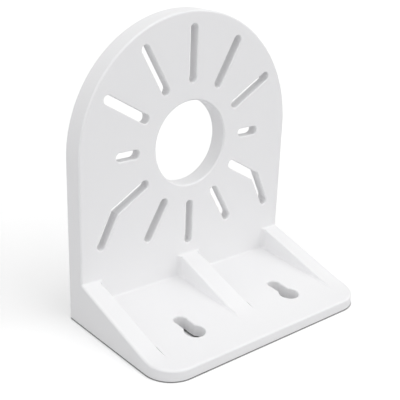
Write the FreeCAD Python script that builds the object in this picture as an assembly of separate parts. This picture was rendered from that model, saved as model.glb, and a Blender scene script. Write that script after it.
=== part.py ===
import FreeCAD, Part
import math
import os

# One-piece moulded camera bracket: an upright plate with an arched top on a ribbed base.
# Millimetres. +Z is up, the plate's back is towards +Y and the base reaches towards -Y.

# Upright plate
plate_width = 120.0
plate_depth = 10.5
arch_centre_height = 75.5
plate_web = 5.8
plate_rim_wall = 4.0
plate_foot_height = 14.0

# Central cable hole and the collar behind it
hole_diameter = 40.0
collar_wall = 4.0
collar_depth = 8.6

# Slots round the hole: lengths to their end centres, angles clockwise from straight up
slot_width = 4.2
slot_front_wall = 2.6
slot_relief = 0.5
slot_step_angle = 30.0
slot_hole_clearance = 10.2
slot_edge_clearance = 8.0
slot_low_shortfall = 4.2
slot_bend_shortfall = 3.2
slot_short_setback = 1.0
slot_short_length = 8.0
slot_bend_leg = 16.2
slot_bend_angle = 154.0

# Base
base_depth = 71.0
base_edge = 5.2
base_root = 9.7
base_corner_radius = 13.0
base_rim_wall = 5.0
base_recess = 1.2

# Ribs on the base
side_rib_width = 9.2
middle_rib_width = 10.4
rib_top_height = 20.5
side_rib_reach = 58.0
middle_rib_reach = 52.0
rib_run_out_radius = 40.0
rib_root_fillet = 2.2

# Keyholes in the base
keyhole_spacing = 58.0
keyhole_head_diameter = 9.4
keyhole_shank_diameter = 6.4
keyhole_neck_width = 5.9
keyhole_head_from_back = 51.4
keyhole_pitch = 9.8
keyhole_neck_fillet = 1.2

# Edge rounds, chamfers and inside fillets
outer_round = 1.0
rib_round = 0.7
rib_round_front_fade = 18.0
rib_round_back_fade = 2.0
rib_round_fade_turn = 0.9
hole_chamfer = 0.6
slot_chamfer = 0.35
keyhole_chamfer = 0.4
back_chamfer = 0.5
bottom_chamfer = 0.4
inside_fillet = 0.9
recess_corner_radius = 3.0

NODE = "bracket"
NEAR = 0.01
UP = FreeCAD.Vector(0, 0, 1)
BACKWARD = FreeCAD.Vector(0, 1, 0)
ACROSS = FreeCAD.Vector(1, 0, 0)

half_width = plate_width / 2
hole_radius = hole_diameter / 2
back_y = base_depth / 2
front_y = back_y - base_depth
plate_front_y = back_y - plate_depth
plate_top = arch_centre_height + half_width
slot_inner_radius = hole_radius + slot_hole_clearance
slot_long_radius = half_width - slot_edge_clearance
slot_low_radius = slot_long_radius - slot_low_shortfall
slot_bend_radius = slot_long_radius - slot_bend_shortfall
slot_short_radius = slot_inner_radius + slot_short_setback
deck_slope = (base_root - base_edge) / (plate_front_y - front_y)
rib_inner_x = half_width - side_rib_width
middle_rib_x = middle_rib_width / 2
keyhole_x = keyhole_spacing / 2
keyhole_head_y = back_y - keyhole_head_from_back
keyhole_shank_y = keyhole_head_y + keyhole_pitch


def vec(x, y, z):
    return FreeCAD.Vector(x, y, z)


def deck_height(y):
    return base_edge + (y - front_y) * deck_slope


def rib_slope(reach):
    """How steeply a rib with this reach from the back falls from the plate to its tip."""
    tip_y = back_y - reach
    return (rib_top_height - deck_height(tip_y)) / (plate_front_y - tip_y)


def rib_height(y, reach):
    """The straight sloping top of a rib with this reach."""
    tip_y = back_y - reach
    return deck_height(tip_y) + (y - tip_y) * rib_slope(reach)


def arch_face(half, bottom, y):
    """A rectangle under a half circle, in the plane at y."""
    left = vec(-half, y, arch_centre_height)
    right = vec(half, y, arch_centre_height)
    top = vec(0, y, arch_centre_height + half)
    low_left = vec(-half, y, bottom)
    low_right = vec(half, y, bottom)
    return Part.Face(Part.Wire([
        Part.Arc(left, top, right).toShape(),
        Part.makeLine(right, low_right),
        Part.makeLine(low_right, low_left),
        Part.makeLine(low_left, left),
    ]))


def base_block(inset, corner_radius, height):
    """The base seen from above, with round front corners."""
    side = half_width - inset
    near = front_y + inset
    far = back_y - inset
    turn = corner_radius * (1 - math.sqrt(0.5))
    left_start = vec(-side, near + corner_radius, 0)
    left_end = vec(-side + corner_radius, near, 0)
    right_start = vec(side - corner_radius, near, 0)
    right_end = vec(side, near + corner_radius, 0)
    outline = Part.Wire([
        Part.makeLine(vec(side, far, 0), vec(-side, far, 0)),
        Part.makeLine(vec(-side, far, 0), left_start),
        Part.Arc(left_start, vec(-side + turn, near + turn, 0), left_end).toShape(),
        Part.makeLine(left_end, right_start),
        Part.Arc(right_start, vec(side - turn, near + turn, 0), right_end).toShape(),
        Part.makeLine(right_end, vec(side, far, 0)),
    ])
    return Part.Face(outline).extrude(UP * height)


def side_profile(points, x_from, width):
    """A closed outline of (y, z) points, drawn across the width."""
    corners = [vec(x_from, y, z) for y, z in points]
    return Part.Face(Part.makePolygon(corners + corners[:1])).extrude(ACROSS * width)


def plate_body():
    plate = arch_face(half_width, 0, plate_front_y).extrude(BACKWARD * plate_depth)
    plate = plate.cut([hole_tool()] + slot_tools())
    plate = chamfered(plate, hole_chamfer, is_hole_rim)
    return chamfered(plate, slot_chamfer, is_slot_rim)


def deck_body():
    wedge = side_profile([
        (front_y, 0),
        (front_y, base_edge),
        (plate_front_y, base_root),
        (back_y, base_root),
        (back_y, 0),
    ], -half_width, plate_width)
    deck = base_block(0, base_corner_radius, plate_top).common(wedge)
    deck = deck.cut([keyhole_tool(-keyhole_x), keyhole_tool(keyhole_x)])
    return chamfered(deck, keyhole_chamfer, is_keyhole_rim)


def rib_wall(x_from, width):
    """A rib before its top is sloped: full height, all the way to the front."""
    tall = rib_top_height + inside_fillet * 2
    wall = Part.makeBox(width, plate_front_y - front_y, tall, vec(x_from, front_y, 0))
    return wall.common(base_block(0, base_corner_radius, tall))


def rib_walls():
    return [
        rib_wall(-half_width, side_rib_width),
        rib_wall(-middle_rib_x, middle_rib_width),
        rib_wall(rib_inner_x, side_rib_width),
    ]


def rib_roof(reach, half_span):
    """The space over the ribs and the deck: its underside is the sloping top of this reach."""
    over = plate_top + plate_width
    before_y = front_y - plate_depth
    tip_y = back_y - reach
    tool = side_profile([
        (plate_front_y, over),
        (plate_front_y, rib_top_height),
        (tip_y, deck_height(tip_y)),
        (before_y, deck_height(before_y)),
        (before_y, over),
    ], -half_span, half_span * 2)
    root = [e for e in tool.Edges if runs_across(e, plate_front_y, rib_top_height)]
    tool = tool.makeFillet(inside_fillet, root)
    tip = [e for e in tool.Edges if runs_across(e, tip_y, deck_height(tip_y))]
    return tool.makeFillet(rib_run_out_radius, tip)


def fade_arc(start_y, radius, turn, reach):
    """Middle and end of an arc that leaves a rib's slope at start_y and rises off it."""
    slope_angle = math.atan(rib_slope(reach))
    centre_y = start_y - math.sin(slope_angle) * radius
    centre_z = rib_height(start_y, reach) + math.cos(slope_angle) * radius
    angles = (slope_angle + turn / 2, slope_angle + turn)
    return [(centre_y + math.sin(a) * radius, centre_z - math.cos(a) * radius) for a in angles]


def rib_guide(x_from, width, reach):
    """A rib whose top rises off the real one's slope at both ends."""
    slope_angle = math.atan(rib_slope(reach))
    bend = slope_angle - math.atan(deck_slope)
    run_out = rib_run_out_radius * math.tan(bend / 2) * math.cos(slope_angle)
    front_start = back_y - reach + run_out
    back_start = plate_front_y - rib_root_fillet
    front_middle, front_end = fade_arc(front_start, rib_round_front_fade, -rib_round_fade_turn, reach)
    back_middle, back_end = fade_arc(back_start, rib_round_back_fade, rib_round_fade_turn, reach)
    top = [front_end, front_middle, (front_start, rib_height(front_start, reach)),
           (back_start, rib_height(back_start, reach)), back_middle, back_end]
    front_top, front_arc, slope_front, slope_back, back_arc, back_top = [
        vec(x_from, y, z) for y, z in top
    ]
    front_foot = vec(x_from, front_top.y, 0)
    back_foot = vec(x_from, back_top.y, 0)
    outline = Part.Wire([
        Part.Arc(front_top, front_arc, slope_front).toShape(),
        Part.makeLine(slope_front, slope_back),
        Part.Arc(slope_back, back_arc, back_top).toShape(),
        Part.makeLine(back_top, back_foot),
        Part.makeLine(back_foot, front_foot),
        Part.makeLine(front_foot, front_top),
    ])
    return Part.Face(outline).extrude(ACROSS * width)


def rib_round_tools(x_from, width, reach, sides):
    """What the round takes off a rib's top edges on these sides, -1 for left and 1 for right."""
    guide = rib_guide(x_from, width, reach)
    ends = [v.Y for v in guide.Vertexes]
    length = max(ends) - min(ends)
    guide = rounded(guide, rib_round, is_guide_top_edge)
    tools = []
    for side in sides:
        strip_x = x_from if side < 0 else x_from + width - rib_round
        strip = Part.makeBox(rib_round, length, rib_top_height * 2, vec(strip_x, min(ends), 0))
        tools.append(strip.cut(guide))
    return tools


def all_rib_round_tools():
    left = rib_round_tools(-half_width, side_rib_width, side_rib_reach, [1])
    middle = rib_round_tools(-middle_rib_x, middle_rib_width, middle_rib_reach, [-1, 1])
    right = rib_round_tools(rib_inner_x, side_rib_width, side_rib_reach, [-1])
    return left + middle + right


def slot_tool(path):
    """A slot through the plate's front wall, and its wider relief behind that wall."""
    relief = slot_cut(path, slot_width + slot_relief * 2)
    relief.translate(BACKWARD * slot_front_wall)
    return slot_cut(path, slot_width).fuse(relief)


def slot_cut(path, width):
    """A cut with round ends that follows two or three points of the plate's front."""
    half = width / 2
    first_way = (path[1] - path[0]).normalize()
    last_way = (path[-1] - path[-2]).normalize()
    first_side = BACKWARD.cross(first_way) * half
    last_side = BACKWARD.cross(last_way) * half
    mitre = (first_side + last_side) * (half ** 2 / (half ** 2 + first_side.dot(last_side)))
    one_side = [path[0] + first_side] + [p + mitre for p in path[1:-1]] + [path[-1] + last_side]
    other_side = [path[-1] - last_side] + [p - mitre for p in path[1:-1]] + [path[0] - first_side]
    edges = [Part.makeLine(a, b) for a, b in zip(one_side, one_side[1:])]
    edges.append(Part.Arc(one_side[-1], path[-1] + last_way * half, other_side[0]).toShape())
    edges += [Part.makeLine(a, b) for a, b in zip(other_side, other_side[1:])]
    edges.append(Part.Arc(other_side[-1], path[0] - first_way * half, one_side[0]).toShape())
    return Part.Face(Part.Wire(edges)).extrude(BACKWARD * plate_depth)


def from_hole(angle, radius):
    """A point of the plate's front at this angle and radius from the hole's centre."""
    turn = math.radians(angle)
    return vec(radius * math.sin(turn), plate_front_y, arch_centre_height + radius * math.cos(turn))


def straight_slot(step, inner_radius, outer_radius):
    angle = step * slot_step_angle
    return slot_tool([from_hole(angle, inner_radius), from_hole(angle, outer_radius)])


def bent_slot(side):
    angle = 4 * slot_step_angle * side
    start = from_hole(angle, slot_inner_radius)
    bend = from_hole(angle, slot_bend_radius)
    turn = math.radians(slot_bend_angle)
    leg = vec(side * math.sin(turn), 0, math.cos(turn)) * slot_bend_leg
    return slot_tool([start, bend, bend + leg])


def slot_tools():
    long_slots = [straight_slot(step, slot_inner_radius, slot_long_radius) for step in (-2, -1, 0, 1, 2)]
    low_slots = [straight_slot(step, slot_inner_radius, slot_low_radius) for step in (5, 6, 7)]
    short_slots = [
        straight_slot(step, slot_short_radius, slot_short_radius + slot_short_length) for step in (-3, 3)
    ]
    return long_slots + low_slots + short_slots + [bent_slot(-1), bent_slot(1)]


def hole_tool():
    centre = vec(0, plate_front_y, arch_centre_height)
    return Part.makeCylinder(hole_radius, plate_depth, centre, BACKWARD)


def keyhole_tool(x):
    """Round head in front, narrower round shank end behind it, and the neck between."""
    tall = rib_top_height
    neck = Part.makeBox(keyhole_neck_width, keyhole_pitch, tall,
                        vec(x - keyhole_neck_width / 2, keyhole_head_y, 0))
    head = Part.makeCylinder(keyhole_head_diameter / 2, tall, vec(x, keyhole_head_y, 0))
    shank = Part.makeCylinder(keyhole_shank_diameter / 2, tall, vec(x, keyhole_shank_y, 0))
    tool = head.fuse([neck, shank]).removeSplitter()
    corners = [e for e in tool.Edges if is_neck_corner(e, x)]
    return tool.makeFillet(keyhole_neck_fillet, corners)


def back_pocket():
    """The hollow behind the plate; a collar stays round the cable hole."""
    web_back_y = plate_front_y + plate_web
    centre = vec(0, web_back_y, arch_centre_height)
    hollow = arch_face(half_width - plate_rim_wall, plate_foot_height, web_back_y)
    hollow = hollow.extrude(BACKWARD * (plate_depth - plate_web))
    low_corners = [e for e in hollow.Edges if is_low_corner(e)]
    hollow = hollow.makeFillet(recess_corner_radius, low_corners)
    collar = Part.makeCylinder(hole_radius + collar_wall, collar_depth - plate_web, centre, BACKWARD)
    return hollow.cut(collar)


def sample_points(edge):
    first, last = edge.ParameterRange
    return [edge.valueAt(first + (last - first) * share) for share in (0, 0.37, 0.5, 0.81, 1)]


def runs_across(edge, y, z):
    return all(abs(p.y - y) < NEAR and abs(p.z - z) < NEAR for p in sample_points(edge))


def is_neck_corner(edge, x):
    """The four upright edges where the neck meets the two round ends."""
    points = sample_points(edge)
    on_neck = all(abs(abs(p.x - x) - keyhole_neck_width / 2) < NEAR for p in points)
    return on_neck and abs(points[0].z - points[-1].z) > NEAR


def is_low_corner(edge):
    points = sample_points(edge)
    low = all(abs(p.z - plate_foot_height) < NEAR for p in points)
    return low and abs(points[0].y - points[-1].y) > NEAR


def is_bay_corner(edge):
    """The upright edges where a rib meets the plate."""
    points = sample_points(edge)
    on_plate = all(abs(p.y - plate_front_y) < NEAR for p in points)
    on_rib = any(all(abs(abs(p.x) - x) < NEAR for p in points) for x in (middle_rib_x, rib_inner_x))
    above_deck = all(p.z > deck_height(p.y) - NEAR for p in points)
    return above_deck and on_plate and on_rib


def is_bay_floor_edge(edge):
    """The deck's edges round a bay: along its ribs, along the plate and round its corners."""
    for p in sample_points(edge):
        by_plate = p.y > plate_front_y - rib_root_fillet - NEAR
        by_rib = min(abs(abs(p.x) - middle_rib_x), abs(abs(p.x) - rib_inner_x)) < NEAR
        in_bays = p.y < plate_front_y + NEAR and abs(p.x) < rib_inner_x + NEAR
        on_deck = abs(p.z - deck_height(p.y)) < NEAR
        if not (on_deck and in_bays and (by_plate or by_rib)):
            return False
    return True


def is_guide_top_edge(edge):
    """The top edges along the guide, at both of its sides."""
    points = sample_points(edge)
    along = all(abs(p.x - points[0].x) < NEAR for p in points) and abs(points[0].y - points[-1].y) > NEAR
    return along and all(p.z > NEAR for p in points)


def on_outer_wall(p):
    """True on the plate's and base's outer sides."""
    turn_x = half_width - base_corner_radius
    turn_y = front_y + base_corner_radius
    if p.z > arch_centre_height:
        return abs(math.hypot(p.x, p.z - arch_centre_height) - half_width) < NEAR
    if p.y > turn_y - NEAR:
        return abs(abs(p.x) - half_width) < NEAR
    if abs(p.x) < turn_x + NEAR:
        return abs(p.y - front_y) < NEAR
    return abs(math.hypot(abs(p.x) - turn_x, p.y - turn_y) - base_corner_radius) < NEAR


def is_outline_edge(edge):
    """The front outline: round the plate, down the side ribs and round the base."""
    points = sample_points(edge)
    facing = all(p.z > base_edge - NEAR and p.y < plate_front_y + NEAR for p in points)
    return facing and all(on_outer_wall(p) for p in points)


def is_back_edge(edge):
    points = sample_points(edge)
    behind = all(abs(p.y - back_y) < NEAR for p in points)
    return behind and all(on_outer_wall(p) for p in points)


def is_bottom_edge(edge):
    """The outline the base stands on, its straight back edge left out."""
    points = sample_points(edge)
    low = all(abs(p.z) < NEAR for p in points)
    return low and all(on_outer_wall(p) for p in points)


def is_hole_rim(edge):
    points = sample_points(edge)
    on_front = all(abs(p.y - plate_front_y) < NEAR for p in points)
    return on_front and all(abs(distance_from_hole(p) - hole_radius) < NEAR for p in points)


def distance_from_hole(p):
    return math.hypot(p.x, p.z - arch_centre_height)


def is_slot_rim(edge):
    """Front edges of the slots: on the plate's face, between the hole and the outline."""
    reach = half_width - plate_rim_wall
    for p in sample_points(edge):
        inside = hole_radius + slot_width < distance_from_hole(p) and abs(p.x) < reach
        above_foot = p.z > rib_top_height + inside_fillet * 2
        inside_arch = p.z < arch_centre_height or distance_from_hole(p) < reach
        if abs(p.y - plate_front_y) > NEAR or not (inside and above_foot and inside_arch):
            return False
    return True


def is_keyhole_rim(edge):
    """Top edges of the keyholes: on the deck, near a keyhole's middle line."""
    for p in sample_points(edge):
        in_reach = abs(abs(p.x) - keyhole_x) < keyhole_head_diameter / 2 + NEAR
        in_line = abs(p.y - keyhole_head_y) < keyhole_head_diameter + keyhole_pitch
        on_deck = abs(p.z - deck_height(p.y)) < NEAR
        if not (in_reach and in_line and on_deck):
            return False
    return True


def rounded(body, radius, belongs):
    """The body with this radius on every edge the test picks."""
    return body.makeFillet(radius, [e for e in body.Edges if belongs(e)])


def chamfered(body, size, belongs):
    return body.makeChamfer(size, [e for e in body.Edges if belongs(e)])


def bracket_body():
    body = plate_body().fuse([deck_body()] + rib_walls()).removeSplitter()
    body = rounded(body, rib_root_fillet, is_bay_corner)
    body = rounded(body, inside_fillet, is_bay_floor_edge)
    body = body.cut(rib_roof(side_rib_reach, plate_width)).removeSplitter()
    body = body.cut(rib_roof(middle_rib_reach, middle_rib_x + rib_root_fillet * 2)).removeSplitter()
    body = rounded(body, outer_round, is_outline_edge)
    body = chamfered(body, back_chamfer, is_back_edge)
    body = chamfered(body, bottom_chamfer, is_bottom_edge)
    body = body.cut(all_rib_round_tools())
    underside = base_block(base_rim_wall, recess_corner_radius, base_recess)
    return body.cut([back_pocket(), underside])


os.makedirs("parts", exist_ok=True)
bracket_body().exportStep(os.path.join("parts", NODE + ".step"))
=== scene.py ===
import math

import bpy
from mathutils import Matrix, Vector

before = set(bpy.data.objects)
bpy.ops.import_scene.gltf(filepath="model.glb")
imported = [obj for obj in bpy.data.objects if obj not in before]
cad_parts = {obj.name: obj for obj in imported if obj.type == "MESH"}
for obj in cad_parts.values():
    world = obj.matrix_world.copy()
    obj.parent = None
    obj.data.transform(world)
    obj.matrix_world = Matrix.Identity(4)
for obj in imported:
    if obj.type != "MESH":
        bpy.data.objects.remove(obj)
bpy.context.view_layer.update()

# The photograph's view: where the camera stands, what it looks at, its tilt and its lens
CAMERA_PLACE = Vector((-0.2176, -0.23687, 0.17819))
CAMERA_TARGET = Vector((-0.0188, -0.0045, 0.06102))
CAMERA_TILT = math.radians(2.018)
CAMERA_LENS = 69.53
CAMERA_NEAREST = 0.01
SENSOR_WIDTH = 36.0

# Moulded plastic: two whites that it drifts between, its roughness and how far that wavers
PLASTIC_COLOUR = (0.860, 0.860, 0.872)
PLASTIC_WARM_COLOUR = (0.868, 0.866, 0.870)
PLASTIC_ROUGHNESS = 0.42
ROUGHNESS_WAVER = 0.04
PLASTIC_IOR = 1.48

# Clouds in the plastic's tone: how close together they lie, and their finer layers
CLOUD_SCALE = 22.0
CLOUD_DETAIL = 2.0

# Flow waves in its surface: how close, their finer layers, their height in metres and their strength
WAVE_SCALE = 34.0
WAVE_DETAIL = 1.0
WAVE_HEIGHT = 0.0004
WAVE_STRENGTH = 0.12

# Grain in its surface: as for the waves, and how rough its finer layers are
GRAIN_SCALE = 2600.0
GRAIN_DETAIL = 3.0
GRAIN_LAYER_ROUGHNESS = 0.6
GRAIN_HEIGHT = 0.00003
GRAIN_STRENGTH = 0.25

# Floor: its colour and glow to the camera, and the duller colour that it throws back at the object
FLOOR_SIZE = 6.0
FLOOR_COLOUR = (0.97, 0.97, 0.97)
FLOOR_GLOW = 0.13
FLOOR_BOUNCE_COLOUR = (0.55, 0.55, 0.56)
FLOOR_ROUGHNESS = 0.9
FLOOR_SPECULAR = 0.1

# Painted contact shade on the floor's colour: how near the object has to be, in metres, how open a
# point is where the painted shade is full and where it ends, and what share of its colour the floor
# keeps in full painted shade
CONTACT_REACH = 0.0019
CONTACT_CLOSED = 0.40
CONTACT_OPEN = 0.75
CONTACT_DARKEST = 0.10

# Even light from all round, at this share of the white that the camera sees
SKY_COLOUR = (1.0, 1.0, 1.0, 1.0)
SKY_STRENGTH = 0.30

# Far lights: each one's direction, how wide it looks in degrees, its strength
TOP_LIGHT = ((0.0, 0.0, 1.0), 40.0, 0.55)
OVERHEAD_SOFTBOX = ((0.0, -0.25, 1.0), 110.0, 0.60)
LEFT_SOFTBOX = ((-1.0, -0.1, 0.45), 60.0, 0.72)
RIGHT_FRONT_SOFTBOX = ((0.8, -1.0, 0.6), 80.0, 1.36)
LEFT_RAKING_LIGHT = ((-1.7, -1.0, 0.35), 14.0, 0.13)


def new_material(name):
    """An empty node material: its node tree and its Principled shader, joined to the output."""
    material = bpy.data.materials.new(name)
    material.use_nodes = True
    tree = material.node_tree
    tree.nodes.clear()
    output = tree.nodes.new("ShaderNodeOutputMaterial")
    shader = tree.nodes.new("ShaderNodeBsdfPrincipled")
    tree.links.new(shader.outputs["BSDF"], output.inputs["Surface"])
    return material, tree, shader


def noise(tree, position, scale, detail, roughness=0.5):
    """A noise texture in the object's own metres."""
    texture = tree.nodes.new("ShaderNodeTexNoise")
    texture.inputs["Scale"].default_value = scale
    texture.inputs["Detail"].default_value = detail
    texture.inputs["Roughness"].default_value = roughness
    tree.links.new(position, texture.inputs["Vector"])
    return texture.outputs["Fac"]


def remap(tree, value, low, high, from_low=0.0, from_high=1.0):
    """The value, from 0 to 1 if nothing else is given, spread between low and high."""
    spread = tree.nodes.new("ShaderNodeMapRange")
    spread.inputs["From Min"].default_value = from_low
    spread.inputs["From Max"].default_value = from_high
    spread.inputs["To Min"].default_value = low
    spread.inputs["To Max"].default_value = high
    tree.links.new(value, spread.inputs["Value"])
    return spread.outputs["Result"]


def blend(tree, share, first, second):
    """The first colour where the share is 0, the second where it is 1."""
    mix = tree.nodes.new("ShaderNodeMix")
    mix.data_type = "RGBA"
    mix.inputs["A"].default_value = (*first, 1.0)
    mix.inputs["B"].default_value = (*second, 1.0)
    tree.links.new(share, mix.inputs["Factor"])
    return mix.outputs["Result"]


def bump(tree, height, distance, strength, below=None):
    """A relief of this height in metres, on top of the relief below it if one is given."""
    node = tree.nodes.new("ShaderNodeBump")
    node.inputs["Strength"].default_value = strength
    node.inputs["Distance"].default_value = distance
    tree.links.new(height, node.inputs["Height"])
    if below is not None:
        tree.links.new(below, node.inputs["Normal"])
    return node.outputs["Normal"]


def white_plastic():
    """Satin white moulded plastic: faint cloudiness, a fine spark-eroded grain and slow flow waves."""
    material, tree, shader = new_material("white_plastic")
    position = tree.nodes.new("ShaderNodeTexCoord").outputs["Object"]
    clouds = noise(tree, position, CLOUD_SCALE, CLOUD_DETAIL)
    grain = noise(tree, position, GRAIN_SCALE, GRAIN_DETAIL, GRAIN_LAYER_ROUGHNESS)
    waves = noise(tree, position, WAVE_SCALE, WAVE_DETAIL)

    colour = blend(tree, clouds, PLASTIC_COLOUR, PLASTIC_WARM_COLOUR)
    tree.links.new(colour, shader.inputs["Base Color"])

    smoothest = PLASTIC_ROUGHNESS - ROUGHNESS_WAVER
    roughest = PLASTIC_ROUGHNESS + ROUGHNESS_WAVER
    tree.links.new(remap(tree, clouds, smoothest, roughest), shader.inputs["Roughness"])

    wavy = bump(tree, waves, WAVE_HEIGHT, WAVE_STRENGTH)
    grained = bump(tree, grain, GRAIN_HEIGHT, GRAIN_STRENGTH, wavy)
    tree.links.new(grained, shader.inputs["Normal"])
    shader.inputs["IOR"].default_value = PLASTIC_IOR
    return material


def seen_directly(tree):
    """1 for what the camera sees, straight or in a reflection, and 0 for light on the object."""
    path = tree.nodes.new("ShaderNodeLightPath")
    seen = path.outputs["Is Camera Ray"]
    for ray in ("Is Glossy Ray", "Is Transmission Ray"):
        either = tree.nodes.new("ShaderNodeMath")
        either.operation = "MAXIMUM"
        tree.links.new(seen, either.inputs[0])
        tree.links.new(path.outputs[ray], either.inputs[1])
        seen = either.outputs[0]
    return seen


def painted_contact_shade(tree, colour):
    """The colour, darkened where the object is very near: painted shade, set by nearness, not by the
    lights.
    """
    openness = tree.nodes.new("ShaderNodeAmbientOcclusion")
    openness.inputs["Distance"].default_value = CONTACT_REACH
    share = remap(tree, openness.outputs["AO"], CONTACT_DARKEST, 1.0, CONTACT_CLOSED, CONTACT_OPEN)
    shaded = tree.nodes.new("ShaderNodeVectorMath")
    shaded.operation = "SCALE"
    tree.links.new(colour, shaded.inputs["Vector"])
    tree.links.new(share, shaded.inputs["Scale"])
    return shaded.outputs["Vector"]


def floor_material():
    """Matt floor: near white where it is seen, duller in the light that it gives back, with painted
    shade near the object.
    """
    material, tree, shader = new_material("floor_white")
    seen = seen_directly(tree)
    # painted shade: the floor's colour is darkened where the object is very near
    colour = painted_contact_shade(tree, blend(tree, seen, FLOOR_BOUNCE_COLOUR, FLOOR_COLOUR))
    tree.links.new(colour, shader.inputs["Base Color"])
    tree.links.new(colour, shader.inputs["Emission Color"])
    tree.links.new(remap(tree, seen, 0.0, FLOOR_GLOW), shader.inputs["Emission Strength"])
    shader.inputs["Roughness"].default_value = FLOOR_ROUGHNESS
    shader.inputs["Specular IOR Level"].default_value = FLOOR_SPECULAR
    return material


def add_floor():
    """A flat square that the bracket stands on."""
    half = FLOOR_SIZE / 2
    mesh = bpy.data.meshes.new("floor")
    corners = [(-half, -half, 0), (half, -half, 0), (half, half, 0), (-half, half, 0)]
    mesh.from_pydata(corners, [], [(0, 1, 2, 3)])
    floor = bpy.data.objects.new("floor", mesh)
    bpy.context.scene.collection.objects.link(floor)
    mesh.materials.append(floor_material())


def add_light(name, from_direction, width, strength):
    """A light far away in this direction: it lights the floor evenly as well."""
    light = bpy.data.lights.new(name, "SUN")
    light.angle = math.radians(width)
    light.energy = strength
    lamp = bpy.data.objects.new(name, light)
    lamp.location = from_direction
    lamp.rotation_euler = (-Vector(from_direction)).to_track_quat("-Z", "Y").to_euler()
    bpy.context.scene.collection.objects.link(lamp)


def add_sky():
    """Even white surroundings, seen by the camera and by reflections at full white."""
    world = bpy.data.worlds.new("studio")
    world.use_nodes = True
    tree = world.node_tree
    background = tree.nodes["Background"]
    background.inputs["Color"].default_value = SKY_COLOUR
    strength = remap(tree, seen_directly(tree), SKY_STRENGTH, 1.0)
    tree.links.new(strength, background.inputs["Strength"])
    bpy.context.scene.world = world


def add_camera():
    """One camera, the best fit to the bracket's outline, holes and base in the photograph."""
    data = bpy.data.cameras.new("camera")
    data.sensor_width = SENSOR_WIDTH
    data.lens = CAMERA_LENS
    data.clip_start = CAMERA_NEAREST
    camera = bpy.data.objects.new("camera", data)
    facing = (CAMERA_TARGET - CAMERA_PLACE).to_track_quat("-Z", "Y").to_matrix().to_4x4()
    tilt = Matrix.Rotation(CAMERA_TILT, 4, "Z")
    camera.matrix_world = Matrix.Translation(CAMERA_PLACE) @ facing @ tilt
    bpy.context.scene.collection.objects.link(camera)
    bpy.context.scene.camera = camera


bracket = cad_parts["bracket"]
plastic = white_plastic()
for place in bracket.material_slots:
    place.material = plastic

add_floor()
add_sky()
add_light("top_light", *TOP_LIGHT)
add_light("overhead_softbox", *OVERHEAD_SOFTBOX)
add_light("left_softbox", *LEFT_SOFTBOX)
add_light("right_front_softbox", *RIGHT_FRONT_SOFTBOX)
add_light("left_raking_light", *LEFT_RAKING_LIGHT)
add_camera()
bpy.context.scene.view_settings.view_transform = "Standard"
